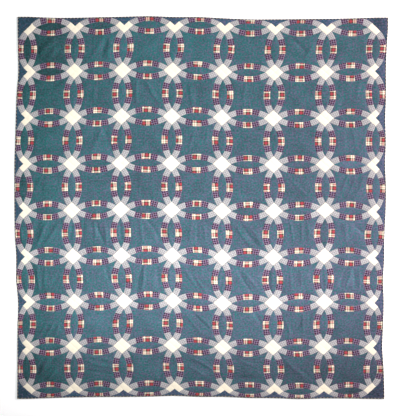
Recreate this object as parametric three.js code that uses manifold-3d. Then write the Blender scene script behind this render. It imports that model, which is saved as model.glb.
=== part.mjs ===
import * as THREE from 'three';
import { mergeVertices } from 'three/addons/utils/BufferGeometryUtils.js';
import Module from 'manifold-3d';

const wasm = await Module();
wasm.setup();

// Sizes in mm. The quilt lies face up on z = 0, its top edge towards +Y.

// Where the rings cross: columns from left to right, rows from bottom to top.
const COLUMN_X = [-1083.7, -786.1, -485.9, -174.6, 136.2, 453.1, 769.4, 1080.8];
const ROW_Y = [-1129.8, -858.6, -582.5, -301.5, -16.7, 271.1, 559.0, 844.3, 1122.3];

// Cut edge of the quilted sheet beyond the outer crossings, before the binding.
const MARGIN = { left: 49.8, right: 54.0, bottom: 39.6, top: 48.3 };

// The same edge in the ring pattern, in shares of a ring: the outer arcs are drawn in a little.
const CUT = { left: 0.18, right: 0.205, bottom: 0.175, top: 0.175 };

// How far the side edges wander to the right of a straight line, at each height in ring rows.
const SIDE_WANDER = [
  { row: 0.0, left: 4.2, right: -3.7 },
  { row: 0.5, left: 5.4, right: -8.0 },
  { row: 1.0, left: 4.6, right: -15.5 },
  { row: 1.5, left: 5.6, right: -11.0 },
  { row: 2.0, left: 8.7, right: -6.8 },
  { row: 2.5, left: -2.5, right: -11.0 },
  { row: 3.0, left: -2.5, right: -4.3 },
  { row: 3.5, left: -11.0, right: -3.0 },
  { row: 4.0, left: -12.7, right: 3.7 },
  { row: 4.5, left: -13.0, right: 6.2 },
  { row: 5.0, left: -13.0, right: 1.0 },
  { row: 5.5, left: -8.2, right: 5.0 },
  { row: 6.0, left: -4.3, right: 2.2 },
  { row: 6.5, left: 0.6, right: 7.2 },
  { row: 7.0, left: 11.0, right: 6.6 },
  { row: 7.5, left: 8.4, right: 11.0 },
  { row: 8.0, left: 6.8, right: 19.0 },
];

// How far the end edges wander upwards of a straight line, at each place in ring columns.
const END_WANDER = [
  { column: 0.0, bottom: -6.2, top: 5.6 },
  { column: 0.5, bottom: -1.2, top: 0.0 },
  { column: 1.0, bottom: 2.5, top: 0.0 },
  { column: 1.5, bottom: 5.0, top: 3.0 },
  { column: 2.0, bottom: 5.6, top: 6.2 },
  { column: 2.5, bottom: 7.7, top: 9.3 },
  { column: 3.0, bottom: 11.8, top: 4.6 },
  { column: 3.5, bottom: 5.9, top: 3.7 },
  { column: 4.0, bottom: 5.6, top: -4.0 },
  { column: 4.5, bottom: -1.2, top: -10.5 },
  { column: 5.0, bottom: -2.5, top: -9.8 },
  { column: 5.5, bottom: -7.8, top: -8.7 },
  { column: 6.0, bottom: -3.7, top: -6.8 },
  { column: 6.5, bottom: -4.3, top: -4.0 },
  { column: 7.0, bottom: -6.8, top: 1.2 },
];

// Where the crossings lie off their straight lines: how far right and up, fading out over some rings.
const DRIFTS = [
  { column: 0.0, row: 8.0, across: 0.4, along: 0.4, right: 7, up: -14 },
  { column: 7.0, row: 8.0, across: 0.4, along: 0.4, right: -13, up: -8 },
  { column: 0.0, row: 0.0, across: 0.4, along: 0.4, right: 8, up: 7 },
  { column: 7.0, row: 0.0, across: 0.4, along: 0.4, right: -19, up: 9 },
  { column: 4.5, row: 8.0, across: 1.2, along: 0.4, right: 0, up: 5 },
  { column: 2.0, row: 8.0, across: 1.3, along: 0.35, right: 4, up: 0 },
  { column: 5.5, row: 8.0, across: 0.9, along: 0.4, right: -8, up: 0 },
  { column: 3.0, row: 7.0, across: 2.4, along: 0.45, right: -8, up: 0 },
  { column: 6.4, row: 7.0, across: 1.2, along: 0.45, right: -5, up: 0 },
  { column: 4.8, row: 6.0, across: 1.8, along: 0.45, right: -5.5, up: 0 },
  { column: 3.2, row: 3.0, across: 0.7, along: 0.5, right: 4, up: 0 },
  { column: 2.0, row: 2.0, across: 0.8, along: 0.45, right: 8.5, up: 0 },
  { column: 3.7, row: 1.0, across: 1.2, along: 0.5, right: 8, up: 0 },
  { column: 3.4, row: 0.0, across: 1.7, along: 0.5, right: 14, up: 0 },
  { column: 4.0, row: 2.0, across: 0.6, along: 1.7, right: 0, up: -11 },
  { column: 6.0, row: 3.0, across: 0.6, along: 1.9, right: 0, up: 7.5 },
  { column: 7.0, row: 4.3, across: 0.5, along: 1.7, right: 0, up: -7 },
  { column: 0.0, row: 6.7, across: 0.5, along: 1.0, right: 0, up: -10 },
  { column: 3.0, row: 4.3, across: 0.5, along: 1.2, right: 0, up: -5.5 },
  { column: 5.0, row: 5.0, across: 0.6, along: 2.0, right: 0, up: 3 },
  { column: 0.0, row: 1.7, across: 0.4, along: 0.9, right: 0, up: 4.5 },
  { column: 6.0, row: 0.0, across: 0.5, along: 0.4, right: -6, up: 0 },
  { column: 7.0, row: 7.0, across: 0.4, along: 0.5, right: -6, up: 0 },
  { column: 0.0, row: 6.8, across: 0.3, along: 1.2, right: 5, up: 0 },
];

// How soon a drift comes to its full size inside the cut edge.
const ROOM = 1.6;

// Ring pattern, in shares of the distance between crossings.
const SQUARE_REACH = 0.175;
const ARC_INNER = 0.083;
const ARC_OUTER = 0.207;
const SEAMS = [
  { inner: 0.0, outer: 0.0 },
  { inner: 0.181, outer: 0.2195 },
  { inner: 0.375, outer: 0.395 },
  { inner: 0.625, outer: 0.605 },
  { inner: 0.819, outer: 0.7805 },
  { inner: 1.0, outer: 1.0 },
];

// Heights of the quilted face above the underside.
const HEIGHT = { ditch: 3.4, square: 5.0, patch: 5.2, lens: 5.6, centreRim: 6.1, centre: 6.6 };
const UNEVEN = 0.13;

// Broad soft swells where the padding lies fuller.
const SWELLS = [
  { column: 4.6, row: 2.3, across: 3.4, along: 0.9, rise: 1.1 },
  { column: 1.2, row: 3.6, across: 1.3, along: 0.8, rise: 0.9 },
  { column: 6.4, row: 4.9, across: 0.9, along: 1.6, rise: 0.8 },
  { column: 3.1, row: 6.2, across: 2.0, along: 1.1, rise: 0.5 },
  { column: 0.8, row: 0.7, across: 1.1, along: 0.8, rise: 0.7 },
  { column: 5.7, row: 7.4, across: 1.5, along: 0.7, rise: 0.6 },
];

// Binding: section points as distance out from the cut edge and height.
const FIT_GAP = 0.3;
const BINDING_SECTION = [
  { out: FIT_GAP, up: 0.0 },
  { out: 4.0, up: 0.0 },
  { out: 4.7, up: 0.9 },
  { out: 4.7, up: 3.0 },
  { out: 3.9, up: 4.3 },
  { out: 2.5, up: 4.8 },
  { out: 1.1, up: 4.5 },
  { out: FIT_GAP, up: 3.6 },
];
const MITRE_PULL = 0.3;
const SIDE_STATIONS = 32;
const SHEET_DEPTH = 5;
const CUT_HEIGHT = 40;

const lastColumn = COLUMN_X.length - 1;
const lastRow = ROW_Y.length - 1;
const edge = {
  left: -CUT.left,
  right: lastColumn + CUT.right,
  bottom: -CUT.bottom,
  top: lastRow + CUT.top,
};

// Place on an even row of values, straight between them, with its own step before and after.
function along(values, place, before, after) {
  const last = values.length - 1;
  if (place < 0) {
    return values[0] + place * before;
  }
  if (place > last) {
    return values[last] + (place - last) * after;
  }
  const first = Math.min(Math.floor(place), last - 1);
  return values[first] + (values[first + 1] - values[first]) * (place - first);
}

// Smooth curve through a wander table with a step of half a ring.
function wander(table, key, place) {
  const steps = Math.min(Math.max(place * 2, 0), table.length - 1);
  const first = Math.min(Math.floor(steps), table.length - 2);
  const at = (n) => table[Math.min(Math.max(n, 0), table.length - 1)][key];
  const p = [at(first - 1), at(first), at(first + 1), at(first + 2)];
  const t = steps - first;
  const bend = 2 * p[0] - 5 * p[1] + 4 * p[2] - p[3];
  const turn = 3 * (p[1] - p[2]) + p[3] - p[0];
  return p[1] + 0.5 * t * (p[2] - p[0] + t * (bend + t * turn));
}

// Share of a drift that is left near the cut edge: none on it, all of it before the outer crossings.
function room(place, low, high, last) {
  return Math.max(0, Math.min(1, ROOM * (place - low) / -low, ROOM * (high - place) / (high - last)));
}

function gaussian(column, row, spot) {
  return Math.exp(-(((column - spot.column) / spot.across) ** 2) - ((row - spot.row) / spot.along) ** 2);
}

// Ring pattern to the lie of the real quilt.
function lie(column, row) {
  const acrossShare = column / lastColumn;
  const upShare = row / lastRow;
  const left = wander(SIDE_WANDER, 'left', row);
  const right = wander(SIDE_WANDER, 'right', row);
  const bottom = wander(END_WANDER, 'bottom', column);
  const top = wander(END_WANDER, 'top', column);
  const x = along(COLUMN_X, column, MARGIN.left / CUT.left, MARGIN.right / CUT.right);
  const y = along(ROW_Y, row, MARGIN.bottom / CUT.bottom, MARGIN.top / CUT.top);
  const place = new THREE.Vector2(
    x + left + (right - left) * acrossShare,
    y + bottom + (top - bottom) * upShare,
  );
  const roomAcross = room(column, edge.left, edge.right, lastColumn);
  const roomUp = room(row, edge.bottom, edge.top, lastRow);
  for (const d of DRIFTS) {
    const share = gaussian(column, row, d);
    place.x += d.right * share * roomAcross;
    place.y += d.up * share * roomUp;
  }
  return place;
}

function swell(column, row) {
  return SWELLS.reduce((rise, s) => rise + s.rise * gaussian(column, row, s), 0);
}

// Fuller here, thinner there, the same each time.
function fullness(column, row) {
  const mixed = Math.sin(column * 12.9898 + row * 78.233) * 43758.5453;
  return 1 + UNEVEN * (2 * (mixed - Math.floor(mixed)) - 1);
}

// Bowed edge of an arc of patches, from one end to the other over the line between two crossings.
function bowed(start, rise, share) {
  const half = 0.5 - start.along;
  const sag = rise - start.off;
  const radius = (half * half + sag * sag) / (2 * sag);
  const angle = Math.asin(half / radius) * (2 * share - 1);
  return [0.5 + radius * Math.sin(angle), start.off + sag - radius + radius * Math.cos(angle)];
}

const innerStart = { along: SQUARE_REACH, off: 0 };
const outerStart = { along: SQUARE_REACH / 2, off: SQUARE_REACH / 2 };
const innerEdge = SEAMS.map((s) => bowed(innerStart, ARC_INNER, s.inner));
const outerEdge = SEAMS.map((s) => bowed(outerStart, ARC_OUTER, s.outer));

// Triangles of one quarter of a ring, its bottom side, as [column, row, kind] corners.
function quarterFaces() {
  const faces = [];
  const half = SQUARE_REACH / 2;
  for (const mirror of [false, true]) {
    const m = (u) => (mirror ? 1 - u : u);
    const tri = (a, b, c) => faces.push(mirror ? [a, c, b] : [a, b, c]);
    const node = [m(0), 0, 'ditch'];
    const middle = [m(half), 0, 'square'];
    const tip = [m(SQUARE_REACH), 0, 'ditch'];
    const side = [m(half), half, 'ditch'];
    tri(node, middle, side);
    tri(middle, tip, side);
  }
  const inner = innerEdge.map(([u, v]) => [u, v, 'ditch']);
  const outer = outerEdge.map(([u, v]) => [u, v, 'ditch']);
  const axis = [2, 3].map((n) => [innerEdge[n][0], 0, 'lens']);
  faces.push([inner[0], axis[0], inner[1]]);
  faces.push([axis[0], inner[2], inner[1]]);
  faces.push([axis[0], axis[1], inner[2]]);
  faces.push([axis[1], inner[3], inner[2]]);
  faces.push([axis[1], inner[4], inner[3]]);
  faces.push([axis[1], inner[5], inner[4]]);
  for (let n = 0; n < SEAMS.length - 1; n += 1) {
    const ring = [inner[n], inner[n + 1], outer[n + 1], outer[n]];
    const crown = [0, 1].map((k) => ring.reduce((sum, p) => sum + p[k] / 4, 0));
    const top = [...crown, 'patch'];
    ring.forEach((p, k) => faces.push([p, ring[(k + 1) % 4], top]));
  }
  return faces;
}

// Ring centre: rim of outer arc edges, a loop of eight points inside it, and the middle.
function centreFaces(turn) {
  const faces = [];
  const middle = [0.5, 0.5, 'centre'];
  const rimPoint = (n) => turn(Math.floor(n / 5) % 4, [...outerEdge[n % 5], 'ditch']);
  const loopPoint = (n) => {
    const side = Math.floor(n / 2) % 4;
    return turn(side, n % 2 ? [0.5, 0.335, 'centreRim'] : [0.27, 0.27, 'centreRim']);
  };
  for (let n = 0; n < 8; n += 1) {
    faces.push([loopPoint(n), loopPoint(n + 1), middle]);
  }
  for (let side = 0; side < 4; side += 1) {
    for (let n = 0; n < 5; n += 1) {
      const near = loopPoint(side * 2 + (n < 2 ? 0 : n < 3 ? 1 : 2));
      faces.push([rimPoint(side * 5 + n), rimPoint(side * 5 + n + 1), near]);
    }
    faces.push([rimPoint(side * 5 + 2), loopPoint(side * 2 + 1), loopPoint(side * 2)]);
    faces.push([rimPoint(side * 5 + 3), loopPoint(side * 2 + 2), loopPoint(side * 2 + 1)]);
  }
  return faces;
}

function ringFaces() {
  const turn = (times, [u, v, kind]) => {
    let p = [u - 0.5, v - 0.5];
    for (let n = 0; n < times; n += 1) {
      p = [-p[1], p[0]];
    }
    return [p[0] + 0.5, p[1] + 0.5, kind];
  };
  const faces = centreFaces(turn);
  const quarter = quarterFaces();
  for (let side = 0; side < 4; side += 1) {
    quarter.forEach((face) => faces.push(face.map((p) => turn(side, p))));
  }
  return faces;
}

function solidOf(positions, indices) {
  return new wasm.Manifold(new wasm.Mesh({
    numProp: 3,
    vertProperties: new Float32Array(positions),
    triVerts: new Uint32Array(indices),
  }));
}

// Quilted sheet, reaching past the cut edge on every side.
function paddedSheet() {
  const positions = [];
  const indices = [];
  const known = new Map();
  const heightOf = (column, row, kind) => {
    const puff = (HEIGHT[kind] - HEIGHT.ditch) * fullness(column, row);
    return HEIGHT.ditch + puff + swell(column, row) * (kind === 'ditch' ? 0.35 : 1);
  };
  const vertex = (column, row, kind) => {
    const key = `${Math.round(column * 1e5)},${Math.round(row * 1e5)}`;
    if (!known.has(key)) {
      const p = lie(column, row);
      known.set(key, positions.length / 3);
      positions.push(p.x, p.y, heightOf(column, row, kind));
    }
    return known.get(key);
  };
  const ring = ringFaces();
  for (let i = -1; i <= lastColumn; i += 1) {
    for (let j = -1; j <= lastRow; j += 1) {
      for (const face of ring) {
        indices.push(...face.map(([u, v, kind]) => vertex(u + i, v + j, kind)));
      }
    }
  }
  const open = new Map();
  for (let n = 0; n < indices.length; n += 3) {
    for (let k = 0; k < 3; k += 1) {
      const a = indices[n + k];
      const b = indices[n + (k + 1) % 3];
      if (!open.delete(`${b},${a}`)) {
        open.set(`${a},${b}`, [a, b]);
      }
    }
  }
  const low = new Map();
  const under = (v) => {
    if (!low.has(v)) {
      low.set(v, positions.length / 3);
      positions.push(positions[v * 3], positions[v * 3 + 1], -SHEET_DEPTH);
    }
    return low.get(v);
  };
  const hub = positions.length / 3;
  positions.push(0, 0, -SHEET_DEPTH);
  for (const [a, b] of open.values()) {
    indices.push(b, a, under(a), b, under(a), under(b));
    indices.push(under(b), under(a), hub);
  }
  return solidOf(positions, indices);
}

// Cut edge of the sheet as four sides running round against the clock.
function cutSides() {
  const corners = [
    [edge.left, edge.bottom],
    [edge.right, edge.bottom],
    [edge.right, edge.top],
    [edge.left, edge.top],
  ];
  return corners.map(([u, v], n) => {
    const [toU, toV] = corners[(n + 1) % 4];
    const side = [];
    for (let k = 0; k <= SIDE_STATIONS; k += 1) {
      const share = k / SIDE_STATIONS;
      side.push(lie(u + (toU - u) * share, v + (toV - v) * share));
    }
    return side;
  });
}

function cutBlock(sides) {
  const outline = sides.flatMap((side) => side.slice(0, -1));
  const block = new THREE.ExtrudeGeometry(new THREE.Shape(outline), {
    depth: CUT_HEIGHT,
    bevelEnabled: false,
    steps: 1,
  });
  block.deleteAttribute('normal');
  block.deleteAttribute('uv');
  const merged = mergeVertices(block, 1e-4);
  return solidOf(merged.attributes.position.array, merged.index.array);
}

function geometryOf(solid) {
  const mesh = solid.getMesh();
  const geometry = new THREE.BufferGeometry();
  geometry.setAttribute('position', new THREE.BufferAttribute(new Float32Array(mesh.vertProperties), 3));
  geometry.setIndex(new THREE.BufferAttribute(new Uint32Array(mesh.triVerts), 1));
  geometry.computeVertexNormals();
  return geometry;
}

const outward = (from, to) => new THREE.Vector2(to.y - from.y, from.x - to.x).normalize();

// Folded strip along one side, cut to a mitre at both ends.
function bindingStrip(sides, n) {
  const side = sides[n];
  const before = sides[(n + 3) % 4];
  const after = sides[(n + 1) % 4];
  const last = SIDE_STATIONS;
  const positions = [];
  const indices = [];
  const count = BINDING_SECTION.length;
  const mitre = (a, b) => a.clone().add(b).divideScalar(1 + a.dot(b));
  side.forEach((point, k) => {
    const first = outward(side[Math.max(k - 1, 0)], side[Math.max(k, 1)]);
    const next = outward(side[Math.min(k, last - 1)], side[Math.min(k + 1, last)]);
    let way = mitre(first, next);
    const base = point.clone();
    if (k === 0) {
      way = mitre(outward(before[last - 1], before[last]), next);
      base.addScaledVector(side[1].clone().sub(point).normalize(), MITRE_PULL);
    }
    if (k === last) {
      way = mitre(first, outward(after[0], after[1]));
      base.addScaledVector(side[last - 1].clone().sub(point).normalize(), MITRE_PULL);
    }
    for (const s of BINDING_SECTION) {
      positions.push(base.x + way.x * s.out, base.y + way.y * s.out, s.up);
    }
  });
  for (let k = 0; k < last; k += 1) {
    for (let s = 0; s < count; s += 1) {
      const a = k * count + s;
      const b = k * count + (s + 1) % count;
      indices.push(a, b + count, b, a, a + count, b + count);
    }
  }
  for (let s = 1; s < count - 1; s += 1) {
    indices.push(0, s, s + 1);
    indices.push(last * count, last * count + s + 1, last * count + s);
  }
  const geometry = new THREE.BufferGeometry();
  geometry.setAttribute('position', new THREE.Float32BufferAttribute(positions, 3));
  geometry.setIndex(indices);
  geometry.computeVertexNormals();
  return geometry;
}

function piece(name, geometry, look) {
  const mesh = new THREE.Mesh(geometry, new THREE.MeshStandardMaterial({ ...look, metalness: 0 }));
  mesh.name = name;
  return mesh;
}

const sides = cutSides();
const body = paddedSheet().intersect(cutBlock(sides));
const group = new THREE.Group();
group.add(piece('quilt_body', geometryOf(body), { color: 0x5d8390, roughness: 0.92 }));
['bottom', 'right', 'top', 'left'].forEach((name, n) => {
  group.add(piece(`binding_${name}`, bindingStrip(sides, n), { color: 0x2a2940, roughness: 0.9 }));
});

// The frame's origin is under the middle of the finished quilt.
const middle = new THREE.Box3().setFromObject(group).getCenter(new THREE.Vector3());
group.children.forEach((mesh) => mesh.geometry.translate(-middle.x, -middle.y, 0));

export default group;
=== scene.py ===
import math
import bmesh
import bpy
import numpy as np
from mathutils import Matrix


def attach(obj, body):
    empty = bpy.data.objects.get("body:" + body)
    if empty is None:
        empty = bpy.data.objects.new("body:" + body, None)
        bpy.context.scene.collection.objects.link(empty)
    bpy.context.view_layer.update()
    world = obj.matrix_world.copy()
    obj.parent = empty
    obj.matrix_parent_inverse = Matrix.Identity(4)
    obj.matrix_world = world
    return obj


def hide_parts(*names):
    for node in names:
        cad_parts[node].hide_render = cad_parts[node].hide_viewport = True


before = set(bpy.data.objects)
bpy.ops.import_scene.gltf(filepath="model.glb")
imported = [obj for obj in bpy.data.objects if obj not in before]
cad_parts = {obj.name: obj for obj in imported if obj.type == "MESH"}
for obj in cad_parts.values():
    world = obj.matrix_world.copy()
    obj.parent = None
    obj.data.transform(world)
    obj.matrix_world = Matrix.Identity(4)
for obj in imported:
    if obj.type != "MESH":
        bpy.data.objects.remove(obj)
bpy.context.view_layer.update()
rng = np.random.default_rng(31)
scene = bpy.context.scene
scene.view_settings.view_transform = "Standard"

# how the quilt lies, mm; wander tables step half a ring
lay = dict(
    columns=np.array([-1083.7, -786.1, -485.9, -174.6, 136.2, 453.1, 769.4, 1080.8]),
    rows=np.array([-1129.8, -858.6, -582.5, -301.5, -16.7, 271.1, 559.0, 844.3, 1122.3]),
    left=np.array([4.2, 5.4, 4.6, 5.6, 8.7, -2.5, -2.5, -11, -12.7, -13, -13, -8.2, -4.3, 0.6, 11, 8.4, 6.8]),
    right=np.array([-3.7, -8, -15.5, -11, -6.8, -11, -4.3, -3, 3.7, 6.2, 1, 5, 2.2, 7.2, 6.6, 11, 19]),
    bottom=np.array([-6.2, -1.2, 2.5, 5, 5.6, 7.7, 11.8, 5.9, 5.6, -1.2, -2.5, -7.8, -3.7, -4.3, -6.8]),
    top=np.array([5.6, 0, 0, 3, 6.2, 9.3, 4.6, 3.7, -4, -10.5, -9.8, -8.7, -6.8, -4, 1.2]),
    margin=dict(left=49.8, right=54.0, bottom=39.6, top=48.3), middle=(3.471, 1.343),
    cell=295.0, room=1.6)
cut = dict(left=0.18, right=0.205, bottom=0.175, top=0.175)  # cut edge past the outer crossings, in rings
columnCount, rowCount = 7, 8
edges = dict(left=-cut["left"], right=columnCount + cut["right"],
             bottom=-cut["bottom"], top=rowCount + cut["top"])

# crossings off their lines: column, row, across, along, mm right, mm up
drifts = [(0, 8, 0.4, 0.4, 7, -14), (7, 8, 0.4, 0.4, -13, -8), (0, 0, 0.4, 0.4, 8, 7),
          (7, 0, 0.4, 0.4, -19, 9), (4.5, 8, 1.2, 0.4, 0, 5), (2, 8, 1.3, 0.35, 4, 0),
          (5.5, 8, 0.9, 0.4, -8, 0), (3, 7, 2.4, 0.45, -8, 0), (6.4, 7, 1.2, 0.45, -5, 0),
          (4.8, 6, 1.8, 0.45, -5.5, 0), (3.2, 3, 0.7, 0.5, 4, 0), (2, 2, 0.8, 0.45, 8.5, 0),
          (3.7, 1, 1.2, 0.5, 8, 0), (3.4, 0, 1.7, 0.5, 14, 0), (4, 2, 0.6, 1.7, 0, -11),
          (6, 3, 0.6, 1.9, 0, 7.5), (7, 4.3, 0.5, 1.7, 0, -7), (0, 6.7, 0.5, 1, 0, -10),
          (3, 4.3, 0.5, 1.2, 0, -5.5), (5, 5, 0.6, 2, 0, 3), (0, 1.7, 0.4, 0.9, 0, 4.5),
          (6, 0, 0.5, 0.4, -6, 0), (7, 7, 0.4, 0.5, -6, 0), (0, 6.8, 0.3, 1.2, 5, 0)]


def between(values, place, before, after):
    last = len(values) - 1
    first = np.clip(np.floor(place).astype(int), 0, last - 1)
    inside = values[first] + (values[first + 1] - values[first]) * (place - first)
    beyond = values[last] + (place - last) * after
    return np.where(place < 0, values[0] + place * before, np.where(place > last, beyond, inside))


def wander(values, place):
    last = len(values) - 1
    steps = np.clip(place * 2, 0, last)
    first = np.minimum(steps.astype(int), last - 1)
    p = [values[np.clip(first + k, 0, last)] for k in (-1, 0, 1, 2)]
    t = steps - first
    bend = 2 * p[0] - 5 * p[1] + 4 * p[2] - p[3]
    turn = 3 * (p[1] - p[2]) + p[3] - p[0]
    return p[1] + 0.5 * t * (p[2] - p[0] + t * (bend + t * turn))


def lie(u, v):  # ring pattern to metres on the floor
    u, v = np.asarray(u, float), np.asarray(v, float)
    left, right = wander(lay["left"], v), wander(lay["right"], v)
    bottom, top = wander(lay["bottom"], u), wander(lay["top"], u)
    step = {side: lay["margin"][side] / cut[side] for side in cut}
    x = between(lay["columns"], u, step["left"], step["right"]) + left + (right - left) * u / columnCount
    y = between(lay["rows"], v, step["bottom"], step["top"]) + bottom + (top - bottom) * v / rowCount
    nearU = np.minimum(1 + u / cut["left"], 1 + (columnCount - u) / cut["right"])  # none on the cut edge
    nearV = np.minimum(1 + v / cut["bottom"], 1 + (rowCount - v) / cut["top"])
    roomU, roomV = np.clip(lay["room"] * nearU, 0, 1), np.clip(lay["room"] * nearV, 0, 1)
    for column, row, across, along, right, up in drifts:
        share = np.exp(-((u - column) / across) ** 2 - ((v - row) / along) ** 2)
        x = x + right * share * roomU
        y = y + up * share * roomV
    return (x - lay["middle"][0]) / 1000, (y - lay["middle"][1]) / 1000


def insideBy(u, v):  # how far inside the cut edge, in rings
    return np.minimum.reduce([u - edges["left"], edges["right"] - u, v - edges["bottom"], edges["top"] - v])


def noise(x, y, seed):
    xi, yi = np.floor(x), np.floor(y)
    fx, fy = x - xi, y - yi
    fx, fy = fx * fx * (3 - 2 * fx), fy * fy * (3 - 2 * fy)

    def knot(a, b):
        h = np.sin(a * 127.1 + b * 311.7 + seed * 74.7) * 43758.5453
        return (h - np.floor(h)) * 2 - 1
    low = knot(xi, yi) * (1 - fx) + knot(xi + 1, yi) * fx
    high = knot(xi, yi + 1) * (1 - fx) + knot(xi + 1, yi + 1) * fx
    return low * (1 - fy) + high * fy


def rise(d, reach):  # padding lifting away from a seam, d in mm
    return 1 - np.exp(-np.maximum(d, 0) / reach)


def stations(n):  # closer together at the seams
    k = np.linspace(0, 1, n + 1)
    return 0.5 * k + 0.5 * (0.5 - 0.5 * np.cos(math.pi * k))


ring = dict(reach=0.175, inner=0.083, outer=0.207, across=8,
            seamsIn=(0, 0.181, 0.375, 0.625, 0.819, 1), seamsOut=(0, 0.2195, 0.395, 0.605, 0.7805, 1),
            along=(8, 7, 10, 7, 8), cloth=("grey", "check", "plaid", "check", "grey"))
puff = dict(ditch=3.8, square=1.0, patch=1.1, lens=1.2, centre=0.9, crown=1.6, fill=1.1)


def bowed(share, start, off, top):
    half, sag = 0.5 - start, top - off
    radius = (half * half + sag * sag) / (2 * sag)
    angle = math.asin(half / radius) * (2 * share - 1)
    return 0.5 + radius * np.sin(angle), off + sag - radius + radius * np.cos(angle)


def innerEdge(share):
    return bowed(share, ring["reach"], 0, ring["inner"])


def outerEdge(share):
    return bowed(share, ring["reach"] / 2, ring["reach"] / 2, ring["outer"])


def outerOff(along):  # how far the outer edge stands off at a place along it
    half, sag = 0.5 - ring["reach"] / 2, ring["outer"] - ring["reach"] / 2
    radius = (half * half + sag * sag) / (2 * sag)
    return ring["outer"] - radius + np.sqrt(np.maximum(radius ** 2 - (along - 0.5) ** 2, 0))


bins = {name: [] for name in ("centre", "lens", "fill", "cream", "grey", "check", "plaid")}
turns = [lambda a, o: (a, o), lambda a, o: (1 - a, -o), lambda a, o: (-o, a), lambda a, o: (o, 1 - a)]


def keep(name, u, v, z, cloth, tone):  # one patch as a grid in pattern space, z in mm
    bins[name].append((u, v, z, cloth[0], cloth[1], tone))


def puckers(alongMm, acrossMm, d, seed):  # short ripples drawn in by the stitching
    ripple = noise(alongMm / 13, acrossMm / 55, seed) * np.exp(-d / 11) * rise(d, 2.5)
    return 0.75 * ripple + 0.3 * noise(alongMm / 30, acrossMm / 34, seed + 7) * rise(d, 8)


# arcs of five patches, two to each lens
cell = lay["cell"]
acrossAt = stations(ring["across"])
patchParts = []
for p in range(5):
    t = stations(ring["along"][p])
    shareIn = ring["seamsIn"][p] + (ring["seamsIn"][p + 1] - ring["seamsIn"][p]) * t
    shareOut = ring["seamsOut"][p] + (ring["seamsOut"][p + 1] - ring["seamsOut"][p]) * t
    ai, oi = innerEdge(shareIn)
    ao, oo = outerEdge(shareOut)
    a = ai[:, None] + (ao - ai)[:, None] * acrossAt
    o = oi[:, None] + (oo - oi)[:, None] * acrossAt
    width = np.hypot(ao - ai, oo - oi)[:, None] * cell
    length = np.hypot(a[-1] - a[0], o[-1] - o[0])[None, :] * cell
    side = np.minimum(acrossAt, 1 - acrossAt)[None, :] * width
    end = np.minimum(t, 1 - t)[:, None] * length
    z = puff["patch"] * rise(acrossAt[None, :] * width, 5.5) * rise((1 - acrossAt)[None, :] * width, 5.5)
    z = z * (1 - 0.5 * np.exp(-end / 3.2))
    middleA, middleO = a.mean(), o.mean()
    heading = math.atan2(o[-1].mean() - o[0].mean(), a[-1].mean() - a[0].mean())
    ca, co = (a - middleA) * cell, (o - middleO) * cell
    clothX = ca * math.cos(heading) + co * math.sin(heading)
    clothY = -ca * math.sin(heading) + co * math.cos(heading)
    patchParts.append((a, o, z, clothX, clothY, side))


def layArc(i, j, turn):
    for p, (a, o, z, clothX, clothY, side) in enumerate(patchParts):
        u, v = turns[turn](a, o)
        name = ring["cloth"][p]
        shift = rng.uniform(-17, 17, 2) if name == "plaid" else rng.uniform(0, 180, 2)  # plaid cut on its red
        skew = rng.normal(0, 0.035)
        cx = clothX + clothY * skew + shift[0]
        cy = clothY - clothX * skew + shift[1]
        if name == "plaid" and rng.random() < 0.5:
            cx, cy = cy, cx
        lift = z * rng.uniform(0.86, 1.14) + puckers(a * cell, o * cell, side, rng.uniform(0, 90))
        keep(name, u + i, v + j, lift, (cx, cy), rng.normal(0, 1))


# lens between two arcs
lensT = np.concatenate([[0]] + [ring["seamsIn"][p] + (ring["seamsIn"][p + 1] - ring["seamsIn"][p])
                                * stations(ring["along"][p])[1:] for p in range(5)])
lensA, lensO = innerEdge(lensT)
lensS = 2 * stations(12) - 1
lensU = np.repeat(lensA[:, None], len(lensS), 1)
lensV = lensO[:, None] * lensS
lensGap = (1 - np.abs(lensS))[None, :] * lensO[:, None] * cell

# lenses painted paler or darker: painted light and shade for each lens's sheen and tilt, partly cloth of
# another tone: column, row, turn
paleLitLenses = {(1, 7, 2), (1, 6, 2), (1, 5, 2), (1, 4, 2), (1, 3, 2), (2, 6, 2), (2, 7, 2), (3, 7, 2),
              (7, 3, 2), (1, 6, 0), (0, 2, 0), (6, 5, 0), (2, 7, 0), (7, 4, 2)}
darkShadedLenses = {(0, 7, 2), (0, 4, 2), (0, 0, 2), (0, 8, 0), (1, 8, 0), (0, 7, 0), (6, 0, 0), (5, 2, 2),
              (4, 1, 2), (6, 3, 2)}
lensLightTone = dict(pale=4, dark=-5)


def layLens(i, j, turn):
    u, v = turns[turn](lensU, lensV)
    lift = puff["lens"] * rise(lensGap, 6.5) * rng.uniform(0.85, 1.15)
    lift = lift + puckers(lensU * cell, lensV * cell, lensGap, rng.uniform(0, 90))
    tone = rng.normal(0, 1)
    # painted light and shade on the listed lenses, partly a real difference in cloth tone
    tone = tone + lensLightTone["pale"] * ((i, j, turn) in paleLitLenses)
    tone = tone + lensLightTone["dark"] * ((i, j, turn) in darkShadedLenses)
    keep("lens", u + i, v + j, lift, ((u + i) * cell, (v + j) * cell), tone)


for i in range(columnCount):
    for j in range(rowCount + 1):
        layLens(i, j, 0)
        layArc(i, j, 0)
        layArc(i, j, 1)
for i in range(columnCount + 1):
    for j in range(rowCount):
        layLens(i, j, 2)
        layArc(i, j, 2)
        layArc(i, j, 3)
print("arcs and lenses:", {k: len(b) for k, b in bins.items()})

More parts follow.
